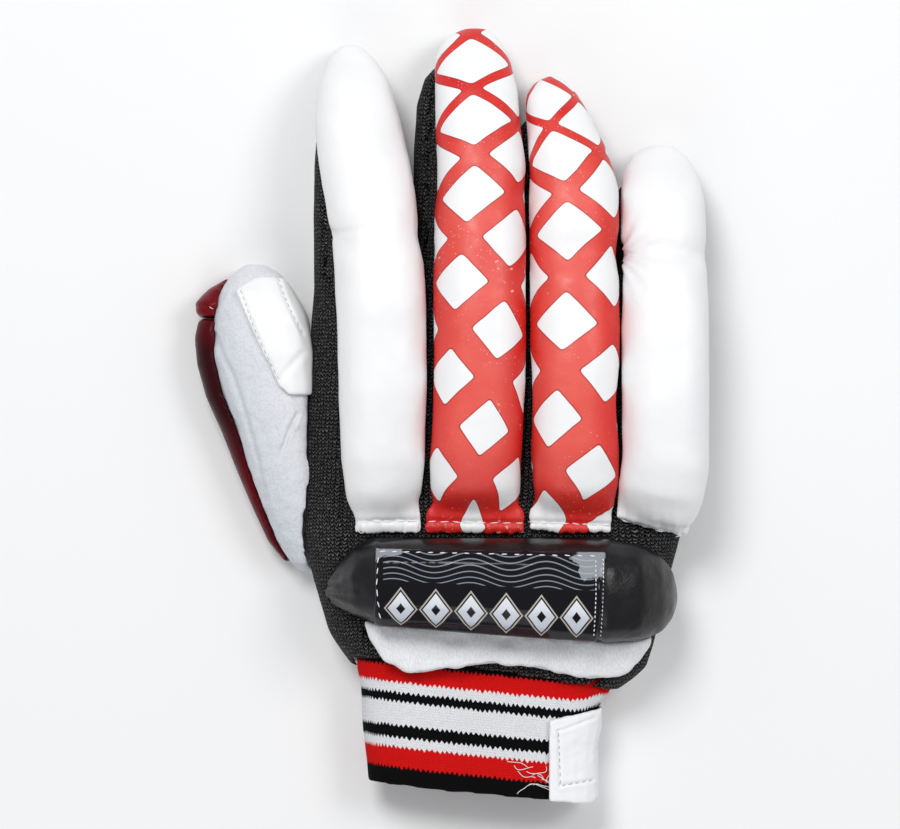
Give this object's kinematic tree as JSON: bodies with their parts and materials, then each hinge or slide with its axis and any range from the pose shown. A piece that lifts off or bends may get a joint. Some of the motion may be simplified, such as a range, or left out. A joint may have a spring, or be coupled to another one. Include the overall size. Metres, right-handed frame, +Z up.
{
  "type": "cricket batting glove",
  "caption": "Right-hand batting glove with padded finger rolls, mesh sides, a thumb guard, a wrist roll and a striped knitted wristband.",
  "frame": {"origin": "under the middle of the glove, on the surface that its palm lies on", "axes": "+Y along the fingers, +Z up through the padded back of the hand, the thumb at -X"},
  "size_m": [0.185, 0.28, 0.0587],
  "materials": {
    "white_leather": "smooth white coated leather",
    "printed_leather": "white coated leather printed with a red lattice",
    "black_leather": "black grained coated leather",
    "gloss_film": "glossy black film with thin silver lines",
    "red_leather": "dark red coated leather",
    "white_pile": "short white pile",
    "palm_leather": "soft white leather",
    "black_mesh": "black knitted mesh",
    "striped_knit": "ribbed elastic knit with red, white and black stripes",
    "white_strap": "white coated strap with a stitched border"
  },
  "bodies": {
    "root": {"palm": "palm_leather", "hand_back": "black_leather", "side_mesh_thumb": "black_mesh", "fourchette_index_middle": "black_mesh", "fourchette_middle_ring": "black_mesh", "fourchette_ring_little": "black_mesh", "side_mesh_little": "black_mesh", "thumb_stall": "white_pile", "thumb_patch": "white_leather", "thumb_guard_tip": "red_leather", "thumb_guard_base": "red_leather", "roll_index": "white_leather", "roll_middle": "printed_leather", "roll_ring": "printed_leather", "roll_little": "white_leather", "wrist_roll": "black_leather", "wrist_plate": "gloss_film", "back_skirt": "white_pile", "wristband": "striped_knit", "strap_tab": "white_strap"}
  },
  "joints": []
}
